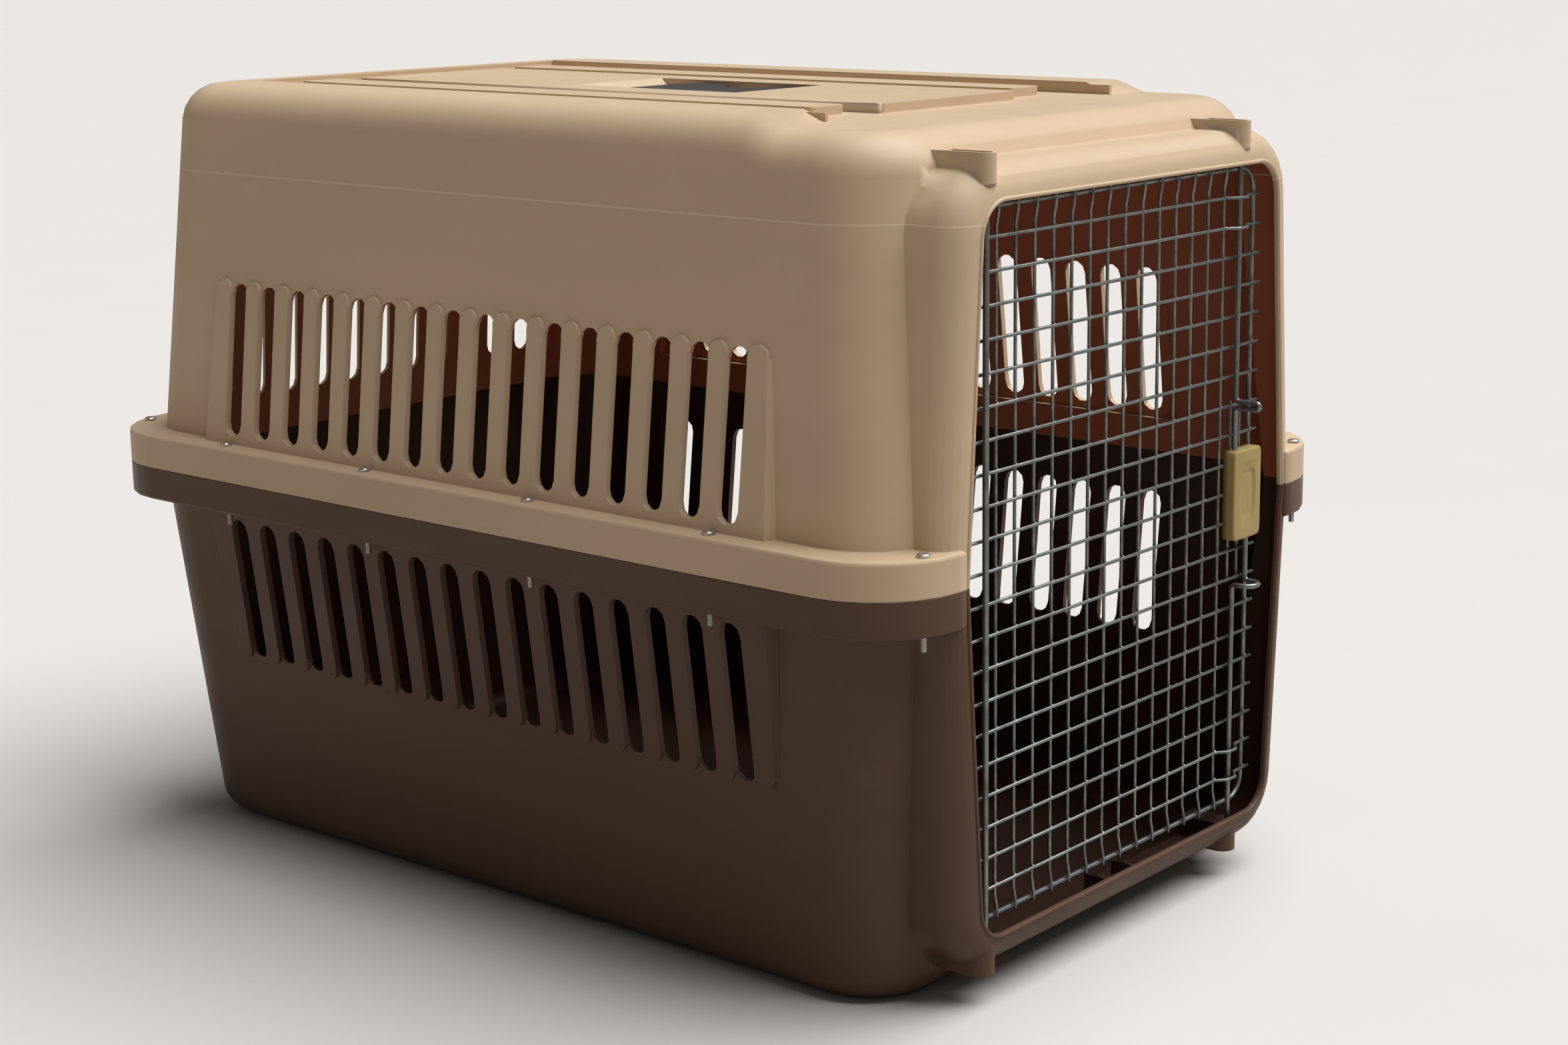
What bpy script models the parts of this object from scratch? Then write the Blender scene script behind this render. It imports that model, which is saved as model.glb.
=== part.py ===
"""Pet transport carrier: two half shells bolted at a rim, a welded wire door and a flip-up roof handle.

Frame: origin at the middle of the footprint on the floor, +Z up, the door on the -Y side, its hinge at -X.
"""

import math

import bpy
import bmesh
from mathutils import Matrix, Vector

# Driving dimensions, in metres
HEIGHT = 0.686
SEAM_Z = 0.342
RIM_HALF_WIDTH, RIM_HALF_LENGTH, RIM_CORNER = 0.320, 0.4725, 0.078
RIM_HEIGHT = 0.030  # of each shell's half of the rim
RIM_REACH = 0.025  # from the body wall to the rim's outer face
RIM_ROUND = 0.003
RIM_END_X = 0.2335  # each side of the doorway
DRAFT_REACH = 0.027  # how far a wall leans in between the seam and the roof or floor
BODY_CORNER = 0.065
ROOF_EDGE, FLOOR_EDGE = 0.032, 0.022
WALL = 0.004
GAP = 0.0003

# Doorway
MOUTH_Y = -0.470  # foremost plane of the doorway border
MOUTH_TOP_Z, MOUTH_BOTTOM_Z = 0.6255, 0.056
MOUTH_HALF_WIDTH, MOUTH_HALF_WIDTH_SEAM = 0.208, 0.228
MOUTH_CORNER = 0.028
BORDER_WIDTH, BORDER_ROUND = 0.028, 0.026
BORDER_WALL = 0.0035

# Vents
SLOT_COUNT, SLOT_PITCH, SLOT_WIDTH = 16, 0.0393, 0.022
UPPER_SLOT = (0.379, 0.5145)
LOWER_SLOT = (0.171, 0.303)
REAR_SLOT_COUNT = 11
PANEL_FAR = 0.003  # how far the ribs run past the slots
# Stand-out, half length at the face and half length at the wall, at the rim and at the far end
PANEL_NEAR_SECTION = (0.009, 0.333, 0.339)
PANEL_FAR_SECTION = (0.003, 0.325, 0.328)
PANEL_WALL = 0.0065

# Roof
RECESS_HALF_WIDTH, RECESS_FRONT, RECESS_REAR, RECESS_DEPTH = 0.192, -0.313, 0.375, 0.010
ROOF_RAMP = 0.028  # length over which the roof comes down to the recess floor, at the front
ROOF_PANEL = (0.0, 0.092, -0.282, 0.345)  # middle x, half width, front y, rear y
RAIL_MIDDLE, RAIL_HALF_WIDTH, RAIL_FRONT, RAIL_REAR = 0.134, 0.021, -0.262, 0.352
RAISED = 0.008
POCKET_HALF_WIDTH, POCKET_HALF_LENGTH, POCKET_DEPTH = 0.0575, 0.096, 0.020

# Handle
HANDLE_AXIS_Y, HANDLE_AXIS_Z = -0.084, 0.6780
HANDLE_HALF_WIDTH, HANDLE_REAR, HANDLE_THICK = 0.0515, 0.056, 0.005
HANDLE_BARREL = 0.0045
PIN_RADIUS = 0.002

# Door
FRAME_Y = -0.4535
FRAME_LEFT, FRAME_RIGHT, FRAME_BOTTOM, FRAME_TOP = -0.2105, 0.1975, 0.0650, 0.6210
FRAME_RADIUS, FRAME_CORNER = 0.00225, 0.020
WIRE_RADIUS = 0.0014
ROW_Y = FRAME_Y - FRAME_RADIUS - WIRE_RADIUS - GAP
UPRIGHT_Y = ROW_Y + 2 * WIRE_RADIUS + GAP
UPRIGHT_END_Y = FRAME_Y - FRAME_RADIUS - WIRE_RADIUS + 0.0006
UPRIGHT_COUNT, UPRIGHT_FIRST, UPRIGHT_PITCH = 14, -0.1730, 0.0248
ROW_COUNT, ROW_TOP, ROW_PITCH = 21, 0.5983, 0.0254
ROW_OVERHANG_LEFT, ROW_OVERHANG_RIGHT = 0.0040, 0.0060
ROWS_CUT_SHORT = (9, 10, 11)  # stop at the last upright, where the latch housing sits
ROD_Y = ROW_Y - WIRE_RADIUS - 0.0025 - GAP
HINGE_X, HINGE_RADIUS = -0.1955, 0.0025
HINGE_TOP, HINGE_BOTTOM = 0.6570, 0.0400

# Latch
LATCH_X, LATCH_SIDE_X, LATCH_RADIUS = 0.1630, 0.1840, 0.00225
LATCH_TOP, LATCH_BOTTOM = 0.6520, 0.0420
HOUSING = (0.1540, 0.1980, -0.4685, -0.4562, 0.3040, 0.3825)  # x0, x1, y0, y1, z0, z1
HOUSING_WALL = 0.0022
UPPER_SEAT, LOWER_SEAT = (0.3370, 0.3390), (0.3475, 0.3495)  # where the springs bear
UPPER_COLLAR, LOWER_COLLAR = 0.3790, 0.3077
LATCH_TRAVEL = 0.030
UPPER_LOOP_Z, UPPER_LOOP_REACH = 0.4220, 0.0205
LOWER_LOOP_Z, LOWER_LOOP_REACH = 0.2640, 0.0180
SUPPORT_WIRES = (0.1660, 0.1810)

# Bolts
BOLT_RADIUS, BOLT_HEAD_RADIUS, BOLT_HEAD = 0.0025, 0.0052, 0.0032
BOLT_END_Z = 0.3000
NUT_FLATS, NUT_THICK = 0.0080, 0.0040
NUT_Z = SEAM_Z - RIM_HEIGHT + WALL + GAP
SIDE_BOLTS_Y = (0.296, 0.110, -0.087, -0.283)
SIDE_BOLT_X = 0.3075
CORNER_BOLTS = ((0.268, -0.4585), (0.272, 0.4530))

scene = bpy.context.scene
for old in list(bpy.data.objects):
    bpy.data.objects.remove(old, do_unlink=True)
PARTS = bpy.data.collections.new("pet_transport_carrier")
CUTTERS = bpy.data.collections.new("cutters")
scene.collection.children.link(PARTS)
scene.collection.children.link(CUTTERS)
CUTTERS.hide_render = True


def material(name, colour, roughness, metallic=0.0):
    made = bpy.data.materials.new(name)
    made.use_nodes = True
    shader = made.node_tree.nodes["Principled BSDF"]
    shader.inputs["Base Color"].default_value = (*colour, 1.0)
    shader.inputs["Roughness"].default_value = roughness
    shader.inputs["Metallic"].default_value = metallic
    made.diffuse_color = (*colour, 1.0)
    return made


CREAM = material("cream_plastic", (0.76, 0.64, 0.49), 0.45)
BROWN = material("brown_plastic", (0.115, 0.068, 0.043), 0.42)
ALMOND = material("almond_plastic", (0.56, 0.45, 0.24), 0.40)
GREY = material("dark_grey_plastic", (0.07, 0.07, 0.075), 0.28)
ZINC = material("zinc_plated_wire", (0.42, 0.43, 0.42), 0.34, 1.0)
SPRING_STEEL = material("spring_steel", (0.35, 0.35, 0.36), 0.30, 1.0)


# Making and joining meshes

def add_object(name, mesh, collection=PARTS, finish=None):
    made = bpy.data.objects.new(name, mesh)
    collection.objects.link(made)
    if finish:
        mesh.materials.clear()
        mesh.materials.append(finish)
    return made


def from_bmesh(name, work, collection=CUTTERS, finish=None):
    bmesh.ops.recalc_face_normals(work, faces=work.faces)
    mesh = bpy.data.meshes.new(name)
    work.to_mesh(mesh)
    work.free()
    return add_object(name, mesh, collection, finish)


def block(x0, x1, y0, y1, z0, z1, name="block"):
    work = bmesh.new()
    size = Vector((x1 - x0, y1 - y0, z1 - z0))
    middle = Vector((x0 + x1, y0 + y1, z0 + z1)) / 2
    bmesh.ops.create_cube(work, size=1.0, matrix=Matrix.Translation(middle) @ Matrix.Diagonal((*size, 1.0)))
    return from_bmesh(name, work)


def rod(radius, start, end, sides=16, name="rod", collection=CUTTERS, finish=None):
    """A straight cylinder from start to end."""
    start, end = Vector(start), Vector(end)
    work = bmesh.new()
    turn = (end - start).to_track_quat("Z", "Y").to_matrix().to_4x4()
    place = Matrix.Translation((start + end) / 2) @ turn
    bmesh.ops.create_cone(work, cap_ends=True, segments=sides, radius1=radius, radius2=radius,
                          depth=(end - start).length, matrix=place)
    return from_bmesh(name, work, collection, finish)


def mesh_of_curve(made, name, collection, finish):
    """The curve object's evaluated mesh as a new object, with its caps welded; the curve is removed."""
    bpy.context.view_layer.update()
    evaluated = made.evaluated_get(bpy.context.evaluated_depsgraph_get())
    mesh = bpy.data.meshes.new_from_object(evaluated)
    work = bmesh.new()
    work.from_mesh(mesh)
    bmesh.ops.remove_doubles(work, verts=work.verts, dist=0.00001)
    work.transform(made.matrix_world)
    bpy.data.objects.remove(made, do_unlink=True)
    return from_bmesh(name, work, collection, finish)


def prism(outline, thickness, place, name="prism", collection=CUTTERS, finish=None):
    """A flat outline, drawn in its own XY plane and extruded both ways, put in place by a matrix."""
    curve = bpy.data.curves.new(name, "CURVE")
    curve.dimensions = "2D"
    curve.fill_mode = "BOTH"
    curve.extrude = thickness / 2
    spline = curve.splines.new("POLY")
    spline.points.add(len(outline) - 1)
    for point, (u, v) in zip(spline.points, outline):
        point.co = (u, v, 0, 1)
    spline.use_cyclic_u = True
    made = bpy.data.objects.new(name, curve)
    CUTTERS.objects.link(made)
    made.matrix_world = place
    return mesh_of_curve(made, name, collection, finish)


def wire(path, radius, name, finish=ZINC, closed=False, sides_step=2):
    """A round wire along a list of points."""
    curve = bpy.data.curves.new(name, "CURVE")
    curve.dimensions = "3D"
    curve.bevel_depth = radius
    curve.bevel_resolution = sides_step
    curve.use_fill_caps = not closed
    spline = curve.splines.new("POLY")
    spline.points.add(len(path) - 1)
    for point, place in zip(spline.points, path):
        point.co = (*place, 1)
    spline.use_cyclic_u = closed
    made = bpy.data.objects.new(name, curve)
    CUTTERS.objects.link(made)
    made = mesh_of_curve(made, name, PARTS, finish)
    made.data.shade_smooth()
    made.data.set_sharp_from_angle(angle=math.radians(50))
    return made


def combine(base, others, operation):
    """Applies a Boolean of each other object to the base, and removes the others."""
    for other in others:
        step = base.modifiers.new("boolean", "BOOLEAN")
        step.operation = operation
        step.object = other
        step.solver = "EXACT"
        bpy.context.view_layer.update()
        evaluated = base.evaluated_get(bpy.context.evaluated_depsgraph_get())
        mesh = bpy.data.meshes.new_from_object(evaluated)
        base.modifiers.clear()
        base.data = mesh
        bpy.data.objects.remove(other, do_unlink=True)
    return base


def one_cutter(cutters):
    """Cutters that stand apart, as one mesh, so that a wall is cut by all of them at once."""
    work = bmesh.new()
    for cutter in cutters:
        work.from_mesh(cutter.data)
        bpy.data.objects.remove(cutter, do_unlink=True)
    return from_bmesh("cutters", work)


def flatten_faces(made):
    """Splits faces into triangles, so that every face a row of slots goes through is truly flat."""
    work = bmesh.new()
    work.from_mesh(made.data)
    bmesh.ops.triangulate(work, faces=work.faces)
    work.to_mesh(made.data)
    work.free()


def join(base, *others):
    return combine(base, others, "UNION")


def cut(base, *others):
    return combine(base, others, "DIFFERENCE")


def finish_part(made, name, finish):
    """Moves a worked object to the parts, with its name and material."""
    CUTTERS.objects.unlink(made)
    PARTS.objects.link(made)
    made.name = name
    work = bmesh.new()
    work.from_mesh(made.data)
    bmesh.ops.remove_doubles(work, verts=work.verts, dist=0.00002)
    bmesh.ops.dissolve_limit(work, angle_limit=0.001, verts=work.verts, edges=work.edges)
    bmesh.ops.dissolve_degenerate(work, edges=work.edges, dist=0.00001)
    work.to_mesh(made.data)
    work.free()
    made.data.name = name
    made.data.materials.clear()
    made.data.materials.append(finish)
    made.data.shade_smooth()
    made.data.set_sharp_from_angle(angle=math.radians(32))
    return made


# Outlines and paths

def rounded(corners, steps=5):
    """An outline through corners given as (u, v, radius), each corner a true arc."""
    points = []
    count = len(corners)
    for i, (u, v, radius) in enumerate(corners):
        here = Vector((u, v))
        if radius == 0:
            points.append((u, v))
            continue
        back = (Vector(corners[i - 1][:2]) - here).normalized()
        ahead = (Vector(corners[(i + 1) % count][:2]) - here).normalized()
        half = back.angle(ahead) / 2
        centre = here + (back + ahead).normalized() * radius / math.sin(half)
        start = here + back * radius / math.tan(half) - centre
        sweep = (math.pi - 2 * half) * (1 if back.x * ahead.y - back.y * ahead.x < 0 else -1)
        for k in range(steps + 1):
            turned = Matrix.Rotation(sweep * k / steps, 2) @ start
            points.append(tuple(centre + turned))
    return points


def rectangle(half_width, half_length, corner, steps=6):
    w, l = half_width, half_length
    return rounded([(-w, -l, corner), (w, -l, corner), (w, l, corner), (-w, l, corner)], steps)


def bent(points, radius, steps=4):
    """A path in space with each inner corner rounded to the radius."""
    points = [Vector(p) for p in points]
    path = [points[0]]
    for before, here, after in zip(points, points[1:], points[2:]):
        back, ahead = (before - here).normalized(), (after - here).normalized()
        half = back.angle(ahead) / 2
        centre = here + (back + ahead).normalized() * radius / math.sin(half)
        axis = back.cross(ahead)
        start = here + back * radius / math.tan(half) - centre
        for k in range(steps + 1):
            path.append(centre + Matrix.Rotation(-(math.pi - 2 * half) * k / steps, 3, axis) @ start)
    return path + [points[-1]]


def loft(rings, name="loft"):
    """A closed body through rings of equally many points, with flat ends."""
    work = bmesh.new()
    made = [[work.verts.new(point) for point in ring] for ring in rings]
    count = len(rings[0])
    for low, high in zip(made, made[1:]):
        for i in range(count):
            j = (i + 1) % count
            work.faces.new((low[i], low[j], high[j], high[i]))
    work.faces.new(made[0][::-1])
    work.faces.new(made[-1])
    return from_bmesh(name, work)


def stadium(half, low, high, middle=0.0, steps=5):
    """An upright outline with round ends."""
    arc = [math.pi * k / steps for k in range(steps + 1)]
    top = [(middle + half * math.cos(t), high - half + half * math.sin(t)) for t in arc]
    return top + [(middle - half * math.cos(t), low + half - half * math.sin(t)) for t in arc]


def nose(half, middle, front, back, steps=8):
    """An outline along Y with a half-round front and a square back."""
    arc = [math.pi * k / steps for k in range(steps + 1)]
    round_front = [(middle - half * math.cos(t), front + half - half * math.sin(t)) for t in arc]
    return round_front + [(middle + half, back), (middle - half, back)]


def wall_inset(side, z):
    """How far a shell's wall has leaned in from the seam at this height."""
    span = HEIGHT - SEAM_Z if side > 0 else SEAM_Z
    return DRAFT_REACH * side * (z - SEAM_Z) / span


# The two shells share their section: upper is +1, lower is -1

def tub(side, inset, end_z, edge):
    """A drafted tub: a cube leaned in, with its upright corners and its far edges rounded."""
    half_x = RIM_HALF_WIDTH - RIM_REACH - inset
    half_y = RIM_HALF_LENGTH - RIM_REACH - inset
    start_z = SEAM_Z - side * (0.012 if inset else 0.008)
    work = bmesh.new()
    bmesh.ops.create_cube(work, size=2.0)
    for vert in work.verts:
        far = vert.co.z * side > 0
        lean = wall_inset(side, end_z if far else start_z)
        vert.co = (vert.co.x * (half_x - lean), vert.co.y * (half_y - lean), end_z if far else start_z)
    upright = [e for e in work.edges if abs(e.verts[0].co.z - e.verts[1].co.z) > 0.1]
    bmesh.ops.bevel(work, geom=upright, offset=BODY_CORNER - inset, segments=6, profile=0.5,
                    affect="EDGES", clamp_overlap=False)
    far_edges = [e for e in work.edges if all(abs(v.co.z - end_z) < 0.0001 for v in e.verts)]
    bmesh.ops.bevel(work, geom=far_edges, offset=edge, segments=5, profile=0.5,
                    affect="EDGES", clamp_overlap=False)
    if side > 0:
        lower_roof_front(work, half_x, half_y)
    return from_bmesh("tub", work)


def lower_roof_front(work, half_x, half_y):
    """Brings the front of the roof down to the level of the recess floor, over a short ramp."""
    for y in (RECESS_FRONT, RECESS_FRONT + ROOF_RAMP):
        geom = list(work.verts) + list(work.edges) + list(work.faces)
        bmesh.ops.bisect_plane(work, geom=geom, plane_co=(0, y, 0), plane_no=(0, 1, 0))
    for vert in work.verts:
        if vert.co.y > RECESS_FRONT + 0.0001 or vert.co.z < SEAM_Z + 0.1:
            continue
        low_z = vert.co.z - RECESS_DEPTH
        before, after = wall_inset(1, vert.co.z), wall_inset(1, low_z)
        wide, long = (half_x - after) / (half_x - before), (half_y - after) / (half_y - before)
        on_cut = abs(vert.co.y - RECESS_FRONT) < 0.0001
        vert.co = (vert.co.x * wide, vert.co.y if on_cut else vert.co.y * long, low_z)
    bmesh.ops.triangulate(work, faces=work.faces)


def rim(side):
    """The solid band of the rim, open at the doorway and a little longer than the seam needs."""
    place = Matrix.Translation((0, 0, SEAM_Z + side * (RIM_HEIGHT - 0.006) / 2))
    band = prism(rectangle(RIM_HALF_WIDTH, RIM_HALF_LENGTH, RIM_CORNER), RIM_HEIGHT + 0.006, place)
    far_z = SEAM_Z + side * RIM_HEIGHT
    work = bmesh.new()
    work.from_mesh(band.data)
    bmesh.ops.dissolve_limit(work, angle_limit=0.001, verts=work.verts, edges=work.edges)
    far_edges = [e for e in work.edges if all(abs(v.co.z - far_z) < 0.0001 for v in e.verts)]
    bmesh.ops.bevel(work, geom=far_edges, offset=RIM_ROUND, segments=2, profile=0.5, affect="EDGES")
    bmesh.ops.triangulate(work, faces=work.faces)
    work.to_mesh(band.data)
    work.free()
    arc = [math.pi / 2 * k / 3 for k in range(4)]
    right = [(RIM_END_X + RIM_ROUND * (1 - math.cos(t)), far_z - side * RIM_ROUND * (1 - math.sin(t)))
             for t in arc]
    right = [(RIM_END_X, SEAM_Z - side * 0.05)] + right + [(RIM_END_X + RIM_ROUND, SEAM_Z + side * 0.05)]
    left = [(-u, v) for u, v in reversed(right)]
    facing = Matrix(((1, 0, 0, 0), (0, 0, -1, -0.47), (0, 1, 0, 0), (0, 0, 0, 1)))
    return cut(band, prism(right + left, 0.06, facing, "doorway_gap"))


def bolt_places():
    places = [(x * SIDE_BOLT_X, y) for x in (-1, 1) for y in SIDE_BOLTS_Y]
    return places + [(sign * x, y) for sign in (-1, 1) for x, y in CORNER_BOLTS]


def rim_channel(side):
    """The hollow of the rim, open at the seam, with a post left round each bolt, above the nut."""
    depth = RIM_HEIGHT - WALL + 0.016
    middle = SEAM_Z + side * (RIM_HEIGHT - WALL - depth / 2)
    place = Matrix.Translation((0, 0, middle))
    outer = prism(rectangle(RIM_HALF_WIDTH - WALL, RIM_HALF_LENGTH - WALL, RIM_CORNER - WALL), depth, place)
    inner_x, inner_y = RIM_HALF_WIDTH - RIM_REACH + 0.0015, RIM_HALF_LENGTH - RIM_REACH + 0.0015
    inner = prism(rectangle(inner_x, inner_y, BODY_CORNER + 0.0015), depth + 0.02, place)
    channel = cut(outer, inner, block(-0.259, 0.259, -0.50, -0.40, 0.2, 0.5))
    radius = 0.006 if side > 0 else 0.0096
    low, high = (SEAM_Z - 0.025, SEAM_Z + 0.05) if side > 0 else (NUT_Z + NUT_THICK + GAP, SEAM_Z + 0.025)
    for x, y in bolt_places():
        channel = cut(channel, rod(radius, (x, y, low), (x, y, high), 12))
    return channel


def mouth(side, offset, y, past=0.0):
    """Half the doorway's outline, offset outward, in the plane y, from the seam to the top or the bottom."""
    far_z = MOUTH_TOP_Z + offset if side > 0 else MOUTH_BOTTOM_Z - offset
    w, ws = MOUTH_HALF_WIDTH + offset, MOUTH_HALF_WIDTH_SEAM + offset
    near_z = SEAM_Z - side * past
    corner = MOUTH_CORNER + offset
    corners = [(-ws, near_z, 0), (ws, near_z, 0), (w, far_z, corner), (-w, far_z, corner)]
    return [(x, y, z) for x, z in rounded(corners, 6)]


def border(side, width, round_, front, back, past=0.0):
    """The bulging border round the doorway: its front edge is a quarter round."""
    rings = []
    for k in range(8):
        angle = math.pi / 2 * k / 7
        offset = width - round_ + round_ * math.sin(angle)
        rings.append(mouth(side, offset, front + round_ * (1 - math.cos(angle)), past))
    rings.append(mouth(side, width, back, past))
    return loft(rings, "border")


def vent_panel(side, slot):
    """The wedge that stands proud of the wall at +X, with a round-ended rib each side of every slot."""
    slot_end = max(slot) if side > 0 else min(slot)
    far = slot_end + side * PANEL_FAR
    points = []
    for z, (proud, face, foot) in ((SEAM_Z + side * (RIM_HEIGHT - 0.006), PANEL_NEAR_SECTION),
                                   (far, PANEL_FAR_SECTION)):
        wall = RIM_HALF_WIDTH - RIM_REACH - wall_inset(side, z)
        points += [(wall + proud, y * face, z) for y in (-1, 1)]
        points += [(wall - 0.002, y * foot, z) for y in (-1, 1)]
    work = bmesh.new()
    bmesh.ops.convex_hull(work, input=[work.verts.new(p) for p in points])
    wedge = from_bmesh("vent_panel", work)

    clear = 0.0003  # narrower than the slot, so that the slot's own cut takes the sides
    rib = (SLOT_PITCH - SLOT_WIDTH) / 2 + clear
    arc = [math.radians(80) * k / 4 for k in range(5)]
    over, low = far + side * 0.01, slot_end - side * (SLOT_WIDTH / 2 + 0.0013)
    place = Matrix(((0, 0, 1, RIM_HALF_WIDTH - RIM_REACH), (1, 0, 0, 0), (0, 1, 0, 0), (0, 0, 0, 1)))
    gaps = []
    for k in range(SLOT_COUNT):
        y = (k - (SLOT_COUNT - 1) / 2) * SLOT_PITCH
        half = [(-SLOT_PITCH / 2 + rib * math.cos(t), far - side * rib * (1 - math.sin(t))) for t in arc]
        half = [(clear - SLOT_WIDTH / 2, low)] + half + [(half[-1][0], over)]
        outline = [(y + v, z) for v, z in half] + [(y - v, z) for v, z in reversed(half)]
        gaps.append(prism(outline, 0.08, place, "rib_gap"))
    last = SLOT_COUNT * SLOT_PITCH / 2
    reach = PANEL_FAR_SECTION[1] - last + 0.0003
    for end in (-1, 1):
        corner = [(end * (last + reach * math.cos(t)), far - side * rib * (1 - math.sin(t))) for t in arc]
        corner += [(corner[-1][0], over), (end * (last + 0.03), over), (end * (last + 0.03), corner[0][1])]
        gaps.append(prism(corner, 0.08, place, "end_gap"))
    return cut(wedge, one_cutter(gaps))


def side_panels(side, slot):
    panels = []
    for turn in (0, math.pi):
        panel = vent_panel(side, slot)
        panel.data.transform(Matrix.Rotation(turn, 4, "Z"))
        panels.append(panel)
    return panels


def slots(slot, count, reach):
    """Vent cutters with round ends, one row along Y, through |x| in reach."""
    half = SLOT_WIDTH / 2
    made = []
    for k in range(count):
        y = (k - (count - 1) / 2) * SLOT_PITCH
        place = Matrix(((0, 0, 1, (reach[0] + reach[1]) / 2), (1, 0, 0, 0), (0, 1, 0, 0), (0, 0, 0, 1)))
        made.append(prism(stadium(half, *slot, y), reach[1] - reach[0], place, "slot"))
    return made


def panel_hollow(side, slot):
    """The wedge that keeps the wall thin behind a vent panel, at +X."""
    far = max(slot) + PANEL_FAR if side > 0 else min(slot) - PANEL_FAR
    points = []
    for z, (proud, face, _) in ((SEAM_Z + side * (RIM_HEIGHT + 0.001), PANEL_NEAR_SECTION),
                                (far, PANEL_FAR_SECTION)):
        wall = RIM_HALF_WIDTH - RIM_REACH - wall_inset(side, z)
        points += [(wall + proud - PANEL_WALL, y * (face - 0.010), z) for y in (-1, 1)]
        points += [(wall - 0.012, y * (face - 0.006), z) for y in (-1, 1)]
    work = bmesh.new()
    bmesh.ops.convex_hull(work, input=[work.verts.new(p) for p in points])
    return from_bmesh("panel_hollow", work)


def shell_body(side, slot, outside=()):
    """Everything the two shells share; the pieces passed in are joined before the hollows are cut."""
    end_z = HEIGHT if side > 0 else 0.0
    edge = ROOF_EDGE if side > 0 else FLOOR_EDGE
    shell = join(tub(side, 0, end_z, edge), rim(side), *side_panels(side, slot))
    shell = join(shell, border(side, BORDER_WIDTH, BORDER_ROUND, MOUTH_Y, -0.405, 0.005), *outside)
    shell = cut(shell, tub(side, WALL, end_z - side * WALL, edge - 0.003), rim_channel(side))
    hollow = border(side, BORDER_WIDTH - WALL, BORDER_ROUND - WALL, MOUTH_Y + BORDER_WALL, -0.39, 0.014)
    opening = loft([mouth(side, 0, y, 0.018) for y in (MOUTH_Y - 0.03, MOUTH_Y + 0.03)], "mouth")
    for turn in (0, math.pi):
        hollow_panel = panel_hollow(side, slot)
        hollow_panel.data.transform(Matrix.Rotation(turn, 4, "Z"))
        shell = cut(shell, hollow_panel)
    shell = cut(shell, hollow, opening)
    flatten_faces(shell)
    for reach in ((0.24, 0.318), (-0.318, -0.24)):
        shell = cut(shell, one_cutter(slots(slot, SLOT_COUNT, reach)))
    for x, y in bolt_places():
        shell = cut(shell, rod(BOLT_RADIUS + 0.0004, (x, y, SEAM_Z - 0.06), (x, y, SEAM_Z + 0.06), 12))
    return shell


def rod_boss(x):
    """A housing on top of the border that takes a rod's upper end: long along Y, round at the front."""
    outline = nose(0.008, x, MOUTH_Y + 0.0005, -0.412)
    return prism(outline, 0.023, Matrix.Translation((0, 0, 0.6505)), "boss")


def upper_shell():
    shell = shell_body(1, UPPER_SLOT, [rod_boss(HINGE_X), rod_boss(LATCH_X)])
    rear = one_cutter(slots(UPPER_SLOT, REAR_SLOT_COUNT, (0.39, 0.47)))
    rear.data.transform(Matrix.Rotation(math.pi / 2, 4, "Z"))
    shell = cut(shell, rear)

    top = HEIGHT
    floor = top - RECESS_DEPTH
    pan = block(-RECESS_HALF_WIDTH - WALL, RECESS_HALF_WIDTH + WALL, RECESS_FRONT + 0.003, RECESS_REAR + WALL,
                floor - WALL, top - 0.002)
    well = block(-POCKET_HALF_WIDTH - WALL, POCKET_HALF_WIDTH + WALL, -POCKET_HALF_LENGTH - WALL,
                 POCKET_HALF_LENGTH + WALL, floor + RAISED - POCKET_DEPTH - WALL, floor - 0.001)
    shell = join(shell, pan, well)
    recess = block(-RECESS_HALF_WIDTH, RECESS_HALF_WIDTH, RECESS_FRONT, RECESS_REAR, floor, top + 0.02)
    shell = cut(shell, recess)
    raised = [ROOF_PANEL] + [(x, RAIL_HALF_WIDTH, RAIL_FRONT, RAIL_REAR) for x in (-RAIL_MIDDLE, RAIL_MIDDLE)]
    for x, half, front, rear_y in raised:
        place = Matrix.Translation((x, (front + rear_y) / 2, floor + (RAISED - 0.001) / 2))
        plate = prism(rectangle(half, (rear_y - front) / 2, 0.005, 3), RAISED + 0.001, place, "raised")
        shell = join(shell, plate)
    ramp_top, ramp_foot = POCKET_HALF_LENGTH, POCKET_HALF_LENGTH - 0.026
    depth_z = floor + RAISED - POCKET_DEPTH
    side_view = [(-POCKET_HALF_LENGTH, top + 0.01), (-POCKET_HALF_LENGTH, depth_z), (ramp_foot, depth_z),
                 (ramp_top, floor + RAISED), (ramp_top, top + 0.01)]
    upright = Matrix(((0, 0, 1, 0), (1, 0, 0, 0), (0, 1, 0, 0), (0, 0, 0, 1)))
    pocket = prism(side_view, 2 * POCKET_HALF_WIDTH, upright, "pocket")
    shell = cut(shell, pocket)
    pin_place = (HANDLE_AXIS_Y, HANDLE_AXIS_Z)
    shell = cut(shell, rod(PIN_RADIUS + GAP, (-0.0605, *pin_place), (0.0605, *pin_place), 12))

    for rod_x, radius in ((HINGE_X, HINGE_RADIUS), (LATCH_X, LATCH_RADIUS)):
        slot_outline = nose(0.005, rod_x, ROD_Y - 0.0049, -0.427)
        channel = prism(slot_outline, 0.020, Matrix.Translation((0, 0, 0.6635)), "boss_slot")
        hole = rod(radius + 0.0006, (rod_x, ROD_Y, 0.628), (rod_x, ROD_Y, 0.67), 12)
        shell = cut(shell, channel, hole)
    shell = cut(shell, block(-0.4, 0.4, -0.6, 0.6, 0.2, SEAM_Z + GAP / 2))
    return finish_part(shell, "upper_shell", CREAM)


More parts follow.
